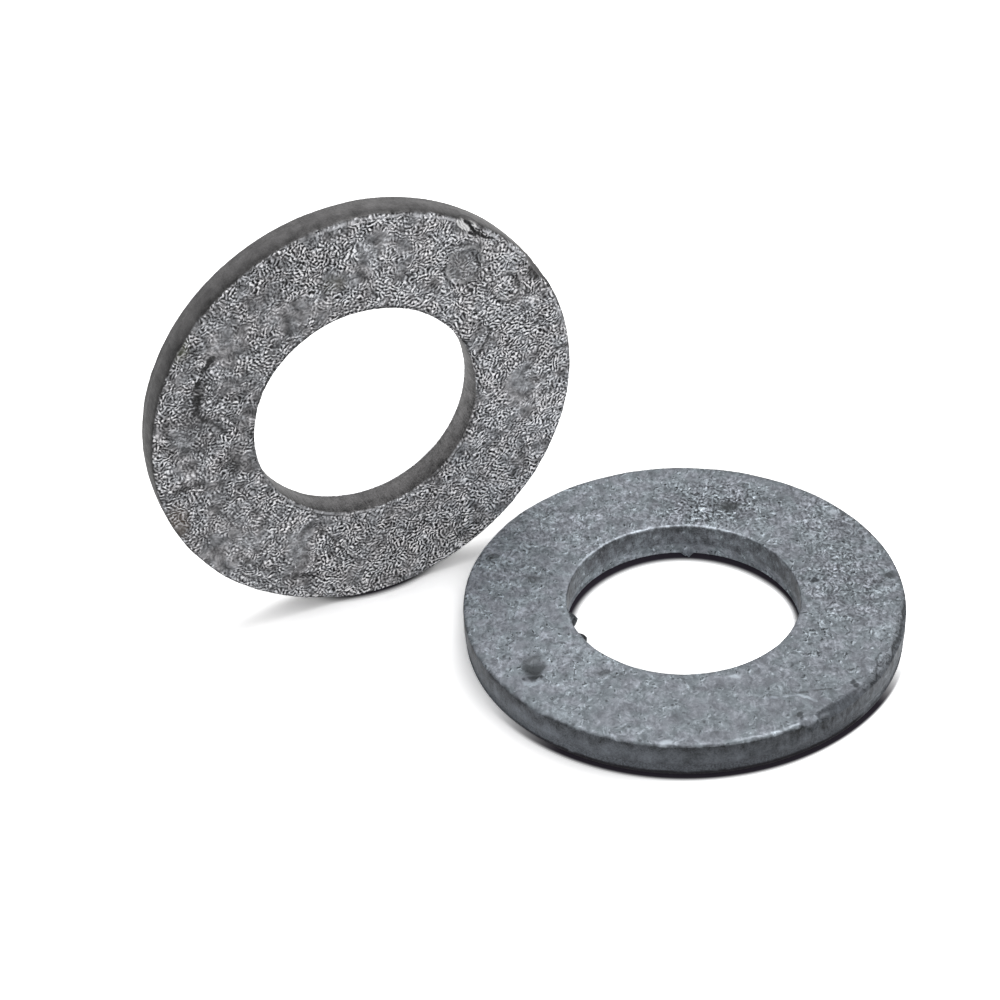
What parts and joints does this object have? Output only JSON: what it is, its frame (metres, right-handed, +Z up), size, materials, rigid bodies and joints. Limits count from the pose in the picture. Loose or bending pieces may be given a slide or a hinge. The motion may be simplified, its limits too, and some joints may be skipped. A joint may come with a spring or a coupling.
{
  "type": "pair of flat washers",
  "caption": "Pair of matching hot-dip galvanised flat washers for 24 mm bolts, one lying on its face and one standing on its rim behind it.",
  "frame": {"origin": "middle of the ground that the pair covers, on the surface it stands on", "axes": "+Z up along the lying washer's axis, +X to the right and +Y away from the picture's camera; the upright washer's bore points to the front and 22 degrees to the right"},
  "size_m": [0.0838, 0.05, 0.05],
  "materials": {
    "lying_zinc": "hot-dip galvanised, dull blue-grey zinc with fine grain, small pits and a smoother punched rim",
    "upright_zinc": "hot-dip galvanised, dull neutral grey zinc with coarse worm-like grain, smoother patches and a brownish rim"
  },
  "bodies": {
    "root": {"lying_washer": "lying_zinc", "upright_washer": "upright_zinc"}
  },
  "joints": []
}
